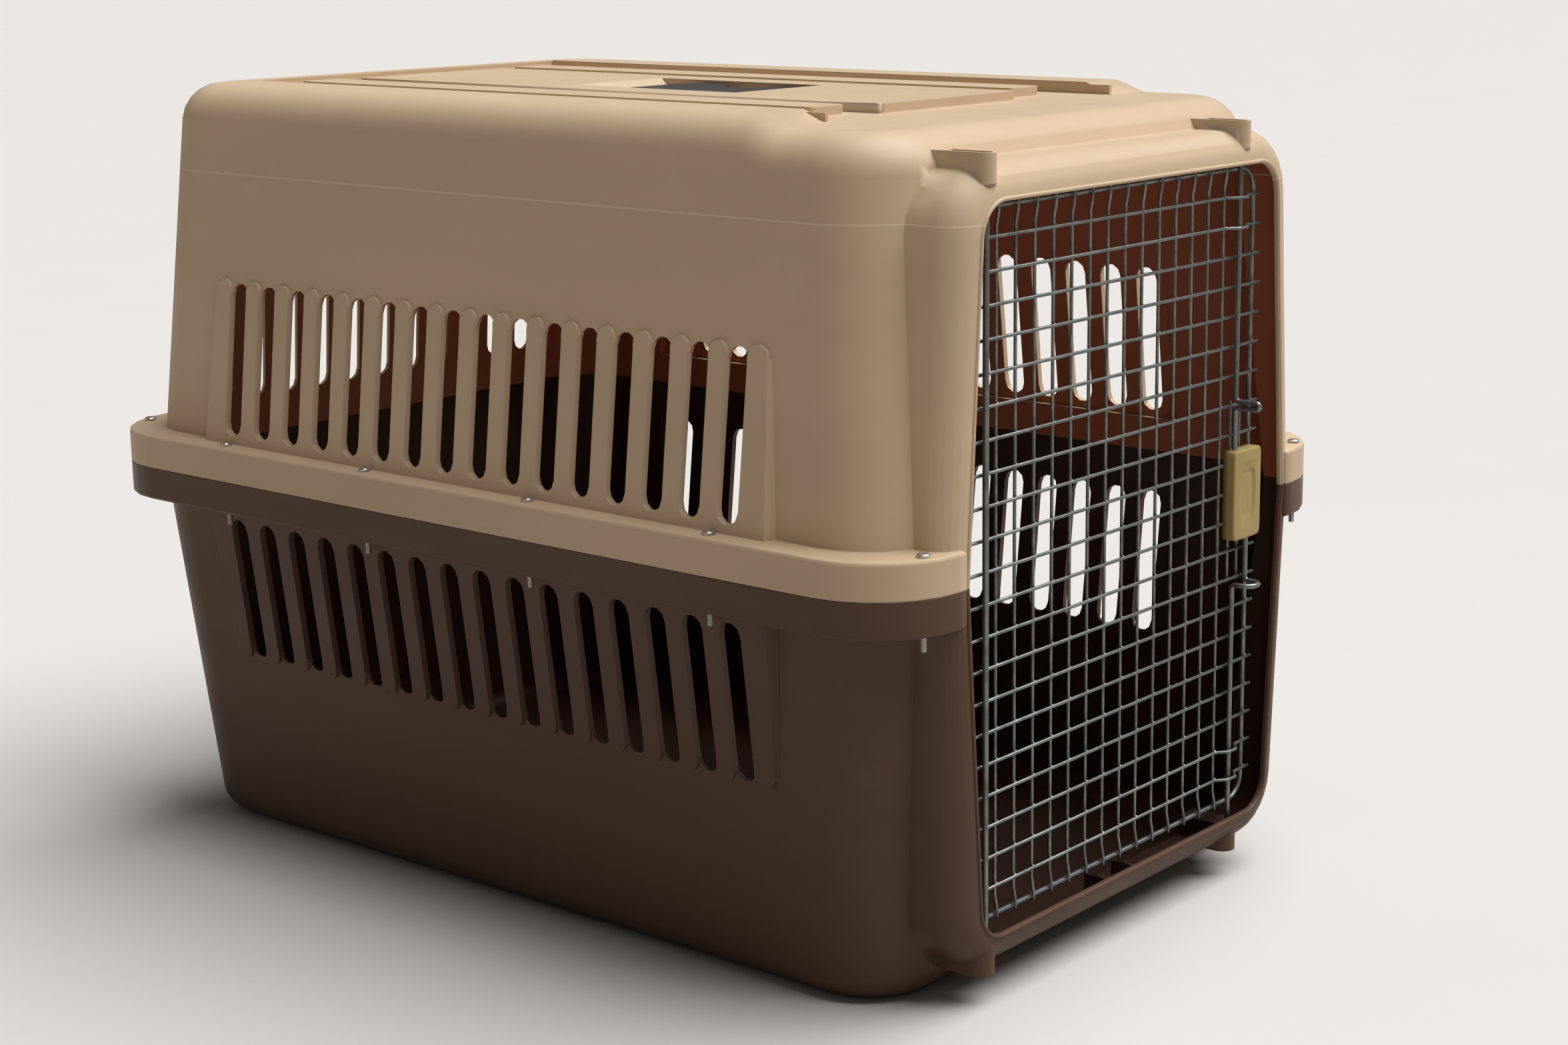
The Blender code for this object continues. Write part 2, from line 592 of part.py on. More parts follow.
def lower_shell():
    shell = shell_body(-1, LOWER_SLOT)
    for rod_x, radius in ((HINGE_X, HINGE_RADIUS), (LATCH_X, LATCH_RADIUS)):
        post = prism(nose(0.0115, rod_x, MOUTH_Y + 0.0015, -0.4205), 0.0255,
                     Matrix.Translation((0, 0, 0.03725)), "post")
        hole = rod(radius + 0.0006, (rod_x, ROD_Y, 0.0375), (rod_x, ROD_Y, 0.07), 12)
        shell = cut(join(shell, post), hole)
    for x in (-0.020, 0.020):
        shell = join(shell, block(x - 0.0012, x + 0.0012, MOUTH_Y + 0.012, -0.436, 0.0335, 0.0500))
    shell = cut(shell, block(-0.4, 0.4, -0.6, 0.6, SEAM_Z - GAP / 2, 0.5))
    return finish_part(shell, "lower_shell", BROWN)


# Bolts with captive nuts in the rim

def bolts_and_nuts():
    seat = SEAM_Z + RIM_HEIGHT + GAP
    for index, (x, y) in enumerate(bolt_places(), 1):
        bolt = rod(BOLT_RADIUS, (x, y, BOLT_END_Z), (x, y, seat + 0.001), 10)
        head = rod(BOLT_HEAD_RADIUS, (x, y, seat), (x, y, seat + BOLT_HEAD), 14)
        finish_part(join(bolt, head), f"rim_bolt_{index:02d}", ZINC)
        nut = rod(NUT_FLATS / math.sqrt(3), (x, y, NUT_Z), (x, y, NUT_Z + NUT_THICK), 6)
        bore = rod(BOLT_RADIUS + 0.0004, (x, y, NUT_Z - 0.01), (x, y, NUT_Z + 0.01), 10)
        finish_part(cut(nut, bore), f"rim_nut_{index:02d}", ZINC)


# The roof handle and its pins

def roof_handle():
    rear, front = HANDLE_REAR, HANDLE_AXIS_Y
    w = HANDLE_HALF_WIDTH
    waist, top_y, low_y = w - 0.024, 0.006, -0.050
    right = [(w, front, 0), (w, low_y, 0.004), (waist, low_y + 0.010, 0.010), (waist, top_y - 0.010, 0.010),
             (w, top_y, 0.004), (w, rear, 0.012)]
    left = [(-u, v, r) for u, v, r in reversed(right)]
    z = HANDLE_AXIS_Z + HANDLE_BARREL - HANDLE_THICK / 2 - 0.001
    plate = prism(rounded(right + left, 4), HANDLE_THICK, Matrix.Translation((0, 0, z)), "plate")
    barrel = rod(HANDLE_BARREL, (-w, front, HANDLE_AXIS_Z), (w, front, HANDLE_AXIS_Z), 20)
    handle = join(plate, barrel)
    for side in (-1, 1):
        handle = cut(handle, rod(PIN_RADIUS + GAP, (side * 0.038, front, HANDLE_AXIS_Z),
                                 (side * 0.07, front, HANDLE_AXIS_Z), 12))
    handle = finish_part(handle, "roof_handle", GREY)
    set_origin(handle, (0, front, HANDLE_AXIS_Z))
    for side, name in ((-1, "left"), (1, "right")):
        rod(PIN_RADIUS, (side * 0.040, front, HANDLE_AXIS_Z), (side * 0.0600, front, HANDLE_AXIS_Z), 12,
            f"handle_pin_{name}", PARTS, ZINC)


def set_origin(made, place):
    made.data.transform(Matrix.Translation(-Vector(place)))
    made.location = place


# The wire door

def door_frame(parent):
    """The frame rod, bent to a loop, with the uprights welded over its top and bottom rods."""
    corners = [(FRAME_LEFT, FRAME_BOTTOM, FRAME_CORNER), (FRAME_RIGHT, FRAME_BOTTOM, FRAME_CORNER),
               (FRAME_RIGHT, FRAME_TOP, FRAME_CORNER), (FRAME_LEFT, FRAME_TOP, FRAME_CORNER)]
    frame = wire([(x, FRAME_Y, z) for x, z in rounded(corners, 4)], FRAME_RADIUS, "door_frame", closed=True)
    over = 0.0025
    for k in range(UPRIGHT_COUNT):
        x = UPRIGHT_FIRST + k * UPRIGHT_PITCH
        path = [(x, UPRIGHT_END_Y, FRAME_BOTTOM - over), (x, UPRIGHT_END_Y, FRAME_BOTTOM + 0.004),
                (x, UPRIGHT_Y, FRAME_BOTTOM + 0.016), (x, UPRIGHT_Y, FRAME_TOP - 0.016),
                (x, UPRIGHT_END_Y, FRAME_TOP - 0.004), (x, UPRIGHT_END_Y, FRAME_TOP + over)]
        frame = join(frame, wire(path, WIRE_RADIUS, "upright"))
    finish_part_in_place(frame, "door_frame")
    hang(frame, parent)


def finish_part_in_place(made, name):
    made.name = name
    made.data.materials.clear()
    made.data.materials.append(ZINC)
    made.data.shade_smooth()
    made.data.set_sharp_from_angle(angle=math.radians(50))


def hang(made, parent):
    """Parents a piece without moving it in the world."""
    made.parent = parent
    made.matrix_parent_inverse = parent.matrix_world.inverted()


def cross_wires(parent):
    """The cross wires, top to bottom: the outer two at each end pass in front of the latch rods as guides."""
    left, right = FRAME_LEFT - ROW_OVERHANG_LEFT, FRAME_RIGHT + ROW_OVERHANG_RIGHT
    guide_y = ROD_Y - LATCH_RADIUS - WIRE_RADIUS - 0.0005
    last_upright = UPRIGHT_FIRST + (UPRIGHT_COUNT - 1) * UPRIGHT_PITCH
    for k in range(ROW_COUNT):
        z = ROW_TOP - k * ROW_PITCH
        name = f"cross_wire_{k + 1:02d}"
        if k in (0, 1, ROW_COUNT - 2, ROW_COUNT - 1):
            path = bent([(left, ROW_Y, z), (LATCH_X - 0.016, ROW_Y, z), (LATCH_X - 0.006, guide_y, z),
                         (LATCH_X + 0.006, guide_y, z), (LATCH_X + 0.016, ROW_Y, z), (right, ROW_Y, z)], 0.004, 2)
            hang(wire(path, WIRE_RADIUS, name), parent)
            continue
        end = last_upright + 0.0040 if k in ROWS_CUT_SHORT else right
        made = rod(WIRE_RADIUS, (left, ROW_Y, z), (end, ROW_Y, z), 8, name, PARTS, ZINC)
        hang(made, parent)


def latch_supports(parent):
    """Two short uprights behind the latch housing, between the cross wires above and below it."""
    for x, side in zip(SUPPORT_WIRES, ("left", "right")):
        ends = (ROW_TOP - 7 * ROW_PITCH + 0.003, ROW_TOP - 13 * ROW_PITCH - 0.003)
        made = rod(WIRE_RADIUS, (x, UPRIGHT_Y, ends[1]), (x, UPRIGHT_Y, ends[0]), 8,
                   f"latch_support_wire_{side}", PARTS, ZINC)
        hang(made, parent)


def latch_housing(parent):
    x0, x1, y0, y1, z0, z1 = HOUSING
    w = HOUSING_WALL
    outline = rounded([(x0, y0, 0.002), (x1, y0, 0.002), (x1, y1, 0), (x0, y1, 0)], 3)
    body = prism(outline, z1 - z0, Matrix.Translation((0, 0, (z0 + z1) / 2)), "housing")
    body = cut(body, block(x0 + w, x1 - w, y0 + 0.0027, y1 + 0.01, z0 + w, z1 - w))
    for x, z in ((LATCH_X, z1), (LATCH_SIDE_X, z0)):
        body = cut(body, rod(LATCH_RADIUS + 0.0004, (x, ROD_Y, z - 0.01), (x, ROD_Y, z + 0.01), 12))
    middle = ((x0 + x1) / 2, (z0 + z1) / 2)
    oval = [(middle[0] + 0.0125 * math.cos(t), middle[1] + 0.029 * math.sin(t))
            for t in (2 * math.pi * k / 24 for k in range(24))]
    place = Matrix(((1, 0, 0, 0), (0, 0, -1, y0), (0, 1, 0, 0), (0, 0, 0, 1)))
    body = cut(body, prism(oval, 0.0026, place, "thumb_oval"))
    between = (LATCH_X + LATCH_SIDE_X) / 2
    wall = block(between - 0.0008, between + 0.0008, ROD_Y - 0.0045, y1 - 0.0004, UPPER_SEAT[0], LOWER_SEAT[1])
    body = join(body, block(x0 + 0.001, between, ROD_Y - 0.0048, y1 - 0.0008, *UPPER_SEAT),
                block(between, x1 - 0.001, ROD_Y - 0.0048, y1 - 0.0008, *LOWER_SEAT), wall)
    for x in (LATCH_X, LATCH_SIDE_X):
        body = cut(body, rod(LATCH_RADIUS + 0.0004, (x, ROD_Y, 0.330), (x, ROD_Y, 0.355), 12))
    hang(finish_part(body, "latch_housing", ALMOND), parent)


def latch_rod(path, collar_z, name, parent):
    made = wire(path, LATCH_RADIUS, name)
    x = LATCH_X if collar_z > 0.34 else LATCH_SIDE_X
    made = join(made, rod(0.0038, (x, ROD_Y, collar_z - 0.0006), (x, ROD_Y, collar_z + 0.0006), 12))
    finish_part_in_place(made, name)
    empty = bpy.data.objects.new(name + "_slide", None)
    PARTS.objects.link(empty)
    empty.location = (x, ROD_Y, collar_z)
    bpy.context.view_layer.update()
    hang(empty, parent)
    bpy.context.view_layer.update()
    hang(made, empty)


def latch_rods(parent):
    """Each rod runs from its socket to a finger loop, and on into the housing."""
    x, y, z = LATCH_X, ROD_Y, UPPER_LOOP_Z
    half = 0.0027
    tip_y = y - UPPER_LOOP_REACH
    turn = [(x, tip_y - half * math.sin(t), z + half * math.cos(t)) for t in (math.pi * k / 6 for k in range(7))]
    above = bent([(x, y, LATCH_TOP), (x, y, z + half), turn[0]], 0.004)
    below = bent([turn[-1], (x, y, z - half), (x, y, 0.3372)], 0.004)
    latch_rod(above[:-1] + turn + below[1:], UPPER_COLLAR, "upper_latch_rod", parent)

    side_x, z = LATCH_SIDE_X, LOWER_LOOP_Z
    half = (side_x - x) / 2
    tip_y = y - LOWER_LOOP_REACH + half
    turn = [(x + half + half * math.cos(t), tip_y - half * math.sin(t), z)
            for t in (math.pi * k / 8 for k in range(9))]
    above = bent([(side_x, y, 0.3493), (side_x, y, z), turn[0]], 0.004)
    below = bent([turn[-1], (x, y, z), (x, y, LATCH_BOTTOM)], 0.004)
    latch_rod(above[:-1] + turn + below[1:], LOWER_COLLAR, "lower_latch_rod", parent)


def latch_springs(parent):
    """Coil springs round the rods, each between its seat and the rod's collar."""
    turns, steps, mean, thick = 7, 6, 0.00325, 0.00035
    clear = 0.0006 + thick + GAP
    for x, low, high, name in (
            (LATCH_X, UPPER_SEAT[1] + thick + GAP, UPPER_COLLAR - clear, "upper_latch_spring"),
            (LATCH_SIDE_X, LOWER_COLLAR + clear, LOWER_SEAT[0] - thick - GAP, "lower_latch_spring")):
        path = []
        for k in range(turns * steps + 1):
            angle = 2 * math.pi * k / steps
            height = low + (high - low) * k / (turns * steps)
            path.append((x + mean * math.cos(angle), ROD_Y + mean * math.sin(angle), height))
        hang(wire(path, thick, name, SPRING_STEEL, sides_step=0), parent)


def door():
    hinge = bpy.data.objects.new("door_hinge_axis", None)
    PARTS.objects.link(hinge)
    hinge.location = (HINGE_X, ROD_Y, SEAM_Z)
    bpy.context.view_layer.update()
    door_frame(hinge)
    cross_wires(hinge)
    latch_supports(hinge)
    ends = (HINGE_X, ROD_Y, HINGE_BOTTOM), (HINGE_X, ROD_Y, HINGE_TOP)
    hang(rod(HINGE_RADIUS, *ends, 12, "hinge_rod", PARTS, ZINC), hinge)
    latch_housing(hinge)
    latch_rods(hinge)
    latch_springs(hinge)


upper_shell()
lower_shell()
bolts_and_nuts()
roof_handle()
door()
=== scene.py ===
"""Pet transport carrier: the look of the two moulded shells, the welded wire door with its latch, the rim
bolts and the roof handle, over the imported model. Lengths are in metres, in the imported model's own frame: the
door is at -Y, and +Z is up."""

import math

import bmesh
import bpy
import numpy as np
from mathutils import Matrix, Vector

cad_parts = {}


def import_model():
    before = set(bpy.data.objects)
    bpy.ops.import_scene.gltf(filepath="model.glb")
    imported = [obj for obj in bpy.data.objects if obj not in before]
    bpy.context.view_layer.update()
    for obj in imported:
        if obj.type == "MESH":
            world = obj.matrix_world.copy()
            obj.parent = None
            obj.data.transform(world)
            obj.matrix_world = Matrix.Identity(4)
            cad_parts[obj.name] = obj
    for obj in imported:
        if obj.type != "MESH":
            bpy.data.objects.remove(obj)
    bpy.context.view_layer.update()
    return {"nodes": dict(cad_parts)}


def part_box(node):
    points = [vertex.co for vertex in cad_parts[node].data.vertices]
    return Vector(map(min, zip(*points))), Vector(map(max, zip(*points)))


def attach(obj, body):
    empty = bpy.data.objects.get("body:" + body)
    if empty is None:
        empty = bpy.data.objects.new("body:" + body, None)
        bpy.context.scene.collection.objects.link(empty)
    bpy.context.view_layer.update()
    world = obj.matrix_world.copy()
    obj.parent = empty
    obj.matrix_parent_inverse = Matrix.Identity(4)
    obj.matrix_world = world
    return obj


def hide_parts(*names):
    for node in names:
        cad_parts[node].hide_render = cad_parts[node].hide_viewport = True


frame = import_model()
NODES = frame["nodes"]
SHELL_BODY, DOOR_BODY = "shells", "door"
REFERENCE = np.array((0.36, 0.48, 0.80))  # along no wire, so a ring's plane is always defined

# Shells: where the cabin's painted shade ends and the outside begins, each as a pair of limits to blend between
CABIN_MIDDLE_Z = 0.36
SIDE_WALL_X, DOORWAY_Y, ROOF_Z = (0.3010, 0.2990), (-0.4640, -0.4560), (0.6745, 0.6725)
END_WALL_Y = (0.400, 0.420)
BORDER_TOP_Z, BORDER_REAR_Y = (0.6340, 0.6360), (-0.4030, -0.4050)
LOOKS_INWARD = (-0.02, -0.06)
PARTING_LINE_Z, PARTING_LINE_HALF = 0.610, (0.0009, 0.0003)

# Doorway
SEAM_Z, MOUTH_Y = 0.342, -0.470
MOUTH_TOP_Z, MOUTH_BOTTOM_Z = 0.6255, 0.056
MOUTH_HALF_WIDTH, MOUTH_HALF_WIDTH_SEAM, MOUTH_CORNER = 0.208, 0.228, 0.028
LIP_BEAD = 0.0017
BEAD_Y = MOUTH_Y + 0.0003

# Door wires
FRAME_Y, FRAME_RADIUS, FRAME_CORNER = -0.4535, 0.00225, 0.020
FRAME_LEFT, FRAME_RIGHT, FRAME_BOTTOM, FRAME_TOP = -0.2105, 0.1975, 0.0650, 0.6210
WIRE_RADIUS, GAP = 0.0014, 0.0003
ROW_Y = FRAME_Y - FRAME_RADIUS - WIRE_RADIUS - GAP
UPRIGHT_Y = ROW_Y + 2 * WIRE_RADIUS + GAP
UPRIGHT_END_Y = FRAME_Y - FRAME_RADIUS - WIRE_RADIUS + 0.0006
UPRIGHTS_X = -0.1730 + 0.0248 * np.arange(14)
ROWS_Z = 0.5983 - 0.0254 * np.arange(21)
GUIDE_ROWS, SHORT_ROWS = (0, 1, 19, 20), (9, 10, 11)
ROW_LEFT, ROW_RIGHT = FRAME_LEFT - 0.0040, FRAME_RIGHT + 0.0060
SHORT_ROW_RIGHT = UPRIGHTS_X[-1] + 0.0040
UPRIGHT_OVERHANG = 0.0025
ROD_Y = ROW_Y - WIRE_RADIUS - 0.0025 - GAP
HINGE_X, HINGE_RADIUS = -0.1955, 0.0025
SUPPORT_WIRES = (0.1660, 0.1810)
NUGGET_RADIUS, NUGGET_HALF_HEIGHT = 0.00185, 0.0017

# Latch
LATCH_X, LATCH_SIDE_X, LATCH_RADIUS = 0.1630, 0.1840, 0.00225
LATCH_TOP, LATCH_BOTTOM = 0.6520, 0.0420
UPPER_ROD_END, LOWER_ROD_END = 0.3372, 0.3493
GUIDE_Y = ROD_Y - LATCH_RADIUS - WIRE_RADIUS - 0.0005
UPPER_LOOP_Z, UPPER_LOOP_REACH = 0.4220, 0.0205
LOWER_LOOP_Z, LOWER_LOOP_REACH = 0.2640, 0.0180
UPPER_LOOP_HALF, LOOP_BEND = 0.0027, 0.004
COLLAR_RADIUS, COLLAR_HALF, COLLAR_EDGE = 0.0038, 0.0006, 0.0002
UPPER_COLLAR_Z, LOWER_COLLAR_Z = 0.3790, 0.3077
OVAL_HALF_WIDTH, OVAL_HALF_HEIGHT, OVAL_DEPTH = 0.0125, 0.029, 0.00175
COVER_EDGE, COVER_CROWN, COVER_WALL, COVER_SQUARENESS = 0.0016, 0.0009, 0.0012, 0.16
COVER_FACE_RINGS, COVER_EDGE_RINGS, COVER_SPOKES = 21, 6, 96

# Bolts
BOLT_RADIUS, BOLT_HEAD_RADIUS, BOLT_HEAD = 0.0025, 0.0052, 0.0032
BOLT_SEAT_Z = SEAM_Z + 0.030 + GAP
CROSS_HALF_WIDTH, CROSS_REACH, CROSS_DEPTH = 0.0008, 0.0033, 0.0014
THREAD_PITCH, THREAD_DEPTH, SHANK_SIDES = 0.0010, 0.0003, 16
BOLT_COUNT = 12


# Materials

def link(tree, value, socket):
    """Plugs a node's socket in, or sets a plain number or colour."""
    if isinstance(value, bpy.types.NodeSocket):
        tree.links.new(value, socket)
    else:
        socket.default_value = value


def node(tree, kind, inputs=(), **settings):
    made = tree.nodes.new(kind)
    for key, value in settings.items():
        setattr(made, key, value)
    for key, value in dict(inputs).items():
        link(tree, value, made.inputs[key])
    return made


def maths(tree, operation, a, b=0.0):
    return node(tree, "ShaderNodeMath", {0: a, 1: b}, operation=operation).outputs[0]


def product(tree, a, b):
    return maths(tree, "MULTIPLY", a, b)


def total(tree, a, b):
    return maths(tree, "ADD", a, b)


def remap(tree, value, low, high, to_low=0.0, to_high=1.0):
    inputs = {"Value": value, "From Min": low, "From Max": high, "To Min": to_low, "To Max": to_high}
    return node(tree, "ShaderNodeMapRange", inputs, interpolation_type="SMOOTHSTEP").outputs["Result"]


def mixed(tree, share, a, b):
    made = node(tree, "ShaderNodeMix", data_type="RGBA")
    link(tree, share, made.inputs["Factor"])
    link(tree, a, made.inputs["A"])
    link(tree, b, made.inputs["B"])
    return made.outputs["Result"]


def noise(tree, place, scale, detail=3.0, roughness=0.55):
    inputs = {"Vector": place, "Scale": scale, "Detail": detail, "Roughness": roughness}
    return node(tree, "ShaderNodeTexNoise", inputs).outputs["Fac"]


def shade(colour, factor=1.0):
    """A colour made darker or brighter, with its alpha."""
    return (*(min(1.0, part * factor) for part in colour), 1.0)


def start_material(name):
    made = bpy.data.materials.new(name)
    made.use_nodes = True
    tree = made.node_tree
    tree.nodes.clear()
    shader = node(tree, "ShaderNodeBsdfPrincipled")
    out = node(tree, "ShaderNodeOutputMaterial")
    tree.links.new(shader.outputs[0], out.inputs["Surface"])
    place = node(tree, "ShaderNodeTexCoord").outputs["Object"]
    return made, tree, shader, place


def softened_edges(tree, radius):
    """The surface direction with every edge rounded, and how near an edge each point is, from 0 to 1."""
    rounded = node(tree, "ShaderNodeBevel", {"Radius": radius}, samples=6).outputs["Normal"]
    plain = node(tree, "ShaderNodeNewGeometry").outputs["Normal"]
    dot = node(tree, "ShaderNodeVectorMath", {0: rounded, 1: plain}, operation="DOT_PRODUCT").outputs["Value"]
    return rounded, remap(tree, dot, 0.99, 0.72)


def plastic(name, colour, pale_wear_and_highlight, roughness, edge=0.0012, painted_cabin_shade=None, seam_line=False):
    """Moulded plastic: a fine spark-eroded grain, slow flow mottling, dust in broad patches, and paler edges,
    partly rubbed wear and partly a painted highlight. It can have a colour of painted shade in the cabin, for
    the cream a warm one that also paints light coming through the wall, and a mould's parting line round it, as
    a fine ridge.
    """
    made, tree, shader, place = start_material(name)
    rounded, near_edge = softened_edges(tree, edge)
    flow = node(tree, "ShaderNodeMapping", {"Vector": place, "Scale": (6.0, 2.0, 9.0)}).outputs["Vector"]
    mottle = noise(tree, flow, 1.6, 4.0)
    dust = noise(tree, place, 24.0, 6.0, 0.65)
    grain = noise(tree, place, 1500.0, 2.0)
    pits = node(tree, "ShaderNodeTexVoronoi", {"Vector": place, "Scale": 900.0}).outputs["Distance"]
    base = mixed(tree, remap(tree, mottle, 0.35, 0.65), shade(colour), shade(colour, 0.955))
    base = mixed(tree, product(tree, remap(tree, dust, 0.50, 0.78), 0.10), base, shade(pale_wear_and_highlight))
    # painted shade on the cabin side of the walls; the cream's is warm and also paints light coming through the
    # wall
    if painted_cabin_shade:
        base = mixed(tree, cabin_painted_shade_mask(tree, place), base, shade(painted_cabin_shade))
    # paler edges: partly rubbed wear, partly a painted highlight along the edges
    rubbed_and_highlit_edge = product(tree, near_edge, remap(tree, dust, 0.30, 0.62, 0.15, 0.75))
    base = mixed(tree, rubbed_and_highlit_edge, base, shade(pale_wear_and_highlight))
    height = total(tree, product(tree, grain, 0.6), product(tree, pits, 0.5))
    if seam_line:
        height_up = node(tree, "ShaderNodeSeparateXYZ", {0: place}).outputs["Z"]
        off = maths(tree, "ABSOLUTE", maths(tree, "SUBTRACT", height_up, PARTING_LINE_Z))
        line = remap(tree, off, *PARTING_LINE_HALF)
        base = mixed(tree, product(tree, line, 0.7), base, shade(pale_wear_and_highlight))
        height = total(tree, height, product(tree, line, 4.0))
    tree.links.new(base, shader.inputs["Base Color"])
    rough = remap(tree, total(tree, mottle, product(tree, dust, 0.5)), 0.55, 0.95,
                  roughness - 0.05, roughness + 0.08)
    tree.links.new(rough, shader.inputs["Roughness"])
    bump = node(tree, "ShaderNodeBump",
                {"Strength": 0.22, "Distance": 0.00012, "Height": height, "Normal": rounded})
    tree.links.new(bump.outputs["Normal"], shader.inputs["Normal"])
    shader.inputs["IOR"].default_value = 1.46
    shader.inputs["Specular IOR Level"].default_value = 0.34
    return made


def cabin_painted_shade_mask(tree, place):
    """Where the cabin's painted shade goes: 1 on the cabin side of a shell's walls, where its surface looks back
    to the middle of the cabin, and 0 elsewhere. Along the length only the end walls count, so that a vent's own
    edges stay outside."""
    normal = node(tree, "ShaderNodeNewGeometry").outputs["Normal"]
    parts = node(tree, "ShaderNodeSeparateXYZ", {0: place}).outputs
    near_end = remap(tree, maths(tree, "ABSOLUTE", parts["Y"]), *END_WALL_Y)
    from_middle = {"X": parts["X"], "Y": product(tree, parts["Y"], near_end),
                   "Z": maths(tree, "SUBTRACT", parts["Z"], CABIN_MIDDLE_Z)}
    from_middle = node(tree, "ShaderNodeCombineXYZ", from_middle).outputs[0]
    away = node(tree, "ShaderNodeVectorMath", {0: normal, 1: from_middle}, operation="DOT_PRODUCT")
    behind_doorway = remap(tree, parts["Y"], *DOORWAY_Y)
    between_sides = remap(tree, maths(tree, "ABSOLUTE", parts["X"]), *SIDE_WALL_X)
    below_roof = remap(tree, parts["Z"], *ROOF_Z)
    on_border = product(tree, remap(tree, parts["Z"], *BORDER_TOP_Z), remap(tree, parts["Y"], *BORDER_REAR_Y))
    below_roof = product(tree, below_roof, maths(tree, "SUBTRACT", 1.0, on_border))
    in_cabin = product(tree, product(tree, between_sides, behind_doorway), below_roof)
    return product(tree, remap(tree, away.outputs["Value"], *LOOKS_INWARD), in_cabin)


def metal(name, colour, roughness, edge=0.0004):
    """Plated steel: fine scratches, a faint crystal bloom and duller patches from handling."""
    made, tree, shader, place = start_material(name)
    rounded, near_edge = softened_edges(tree, edge)
    bloom = node(tree, "ShaderNodeTexVoronoi", {"Vector": place, "Scale": 420.0}).outputs["Color"]
    bloom = node(tree, "ShaderNodeSeparateXYZ", {0: bloom}).outputs["X"]
    dull = noise(tree, place, 55.0, 5.0, 0.6)
    scratch = noise(tree, place, 2600.0, 2.0)
    base = mixed(tree, remap(tree, dull, 0.38, 0.66), shade(colour), shade(colour, 0.62))
    base = mixed(tree, product(tree, total(tree, bloom, near_edge), 0.22), base, shade(colour, 1.35))
    tree.links.new(base, shader.inputs["Base Color"])
    rough = total(tree, remap(tree, dull, 0.3, 0.7, roughness - 0.08, roughness + 0.12),
                  product(tree, bloom, 0.05))
    tree.links.new(rough, shader.inputs["Roughness"])
    shader.inputs["Metallic"].default_value = 0.85
    bump = node(tree, "ShaderNodeBump",
                {"Strength": 0.15, "Distance": 0.00006, "Height": scratch, "Normal": rounded})
    tree.links.new(bump.outputs["Normal"], shader.inputs["Normal"])
    return made


# Each shell's last colour is painted shade on the cabin side; the cream's warm one also paints light through the
# wall.
CREAM = plastic("cream_plastic_look", (0.66, 0.505, 0.345), (0.82, 0.69, 0.52), 0.44, 0.0016,
                painted_cabin_shade=(0.50, 0.165, 0.085), seam_line=True)
BROWN = plastic("brown_plastic_look", (0.112, 0.064, 0.041), (0.22, 0.15, 0.10), 0.40, 0.0014,
                painted_cabin_shade=(0.060, 0.030, 0.020))
ALMOND = plastic("almond_plastic_look", (0.47, 0.355, 0.145), (0.62, 0.50, 0.26), 0.42, 0.0007)
GREY = plastic("dark_grey_plastic_look", (0.060, 0.057, 0.060), (0.20, 0.19, 0.19), 0.22, 0.0008)
ZINC = metal("zinc_wire_look", (0.27, 0.295, 0.29), 0.36)
FASTENER = metal("zinc_fastener_look", (0.62, 0.60, 0.56), 0.26)
SPRING = metal("spring_steel_look", (0.30, 0.30, 0.31), 0.30)


# Meshes from arrays

def quads(rows, columns, wrap_rows=False):
    """The faces of a grid of points stored row by row. The last column is joined to the first, and the last
    row too where wrap_rows says so."""
    i = np.arange(rows if wrap_rows else rows - 1)[:, None]
    j = np.arange(columns)[None, :]
    i2, j2 = (i + 1) % rows, (j + 1) % columns
    corners = (i * columns + j, i * columns + j2, i2 * columns + j2, i2 * columns + j)
    return np.stack(corners, axis=-1).reshape(-1, 4)


def unit(rows):
    return rows / np.linalg.norm(rows, axis=-1, keepdims=True)


def sweep(path, radii, sides=14, closed=False):
    """A round bar: point (i, j) is path point i plus radius i times circle point j, in the plane square to
    the path."""
    path, radii = np.asarray(path, float), np.broadcast_to(radii, len(path))
    ahead = np.roll(path, -1, axis=0) - np.roll(path, 1, axis=0) if closed else np.gradient(path, axis=0)
    side = unit(np.cross(ahead, REFERENCE))
    up = unit(np.cross(side, ahead))
    turn = np.linspace(0, 2 * math.pi, sides, endpoint=False)[None, :, None]
    ring = np.cos(turn) * side[:, None] + np.sin(turn) * up[:, None]
    points = path[:, None] + radii[:, None, None] * ring
    return points.reshape(-1, 3), quads(len(path), sides, wrap_rows=closed)


def bar(path, radius, sides=14):
    """A wire with its cut ends slightly rounded over: the radius grows from nothing to full over the end
    rings."""
    path = np.asarray(path, float)
    steps = np.array((0.0, 0.02, 0.12, 0.40))[:, None] * radius
    head = path[0] + unit(path[1] - path[0]) * steps
    tail = path[-1] + unit(path[-2] - path[-1]) * steps[::-1]
    growth = np.array((0.0, 0.70, 0.92, 1.0)) * radius
    radii = np.concatenate([growth, np.full(len(path) - 2, radius), growth[::-1]])
    return sweep(np.concatenate([head, path[1:-1], tail]), radii, sides)


def lathe(profile, middle, sides=24):
    """A turned shape: point (i, j) is profile point i, a radius and a height, turned by angle j round an
    upright axis through the middle."""
    profile = np.asarray(profile, float)
    turn = np.linspace(0, 2 * math.pi, sides, endpoint=False)[None, :]
    radius, height = profile[:, :1], profile[:, 1:] + 0 * turn
    points = np.stack([radius * np.cos(turn), radius * np.sin(turn), height], axis=-1) + np.asarray(middle)
    return points.reshape(-1, 3), quads(len(profile), sides)


def copies(patch, offsets):
    """The same patch at each offset."""
    points, faces = patch
    offsets = np.asarray(offsets, float)
    moved = (points[None] + offsets[:, None]).reshape(-1, 3)
    numbered = faces[None] + (np.arange(len(offsets)) * len(points))[:, None, None]
    return moved, numbered.reshape(-1, faces.shape[1])


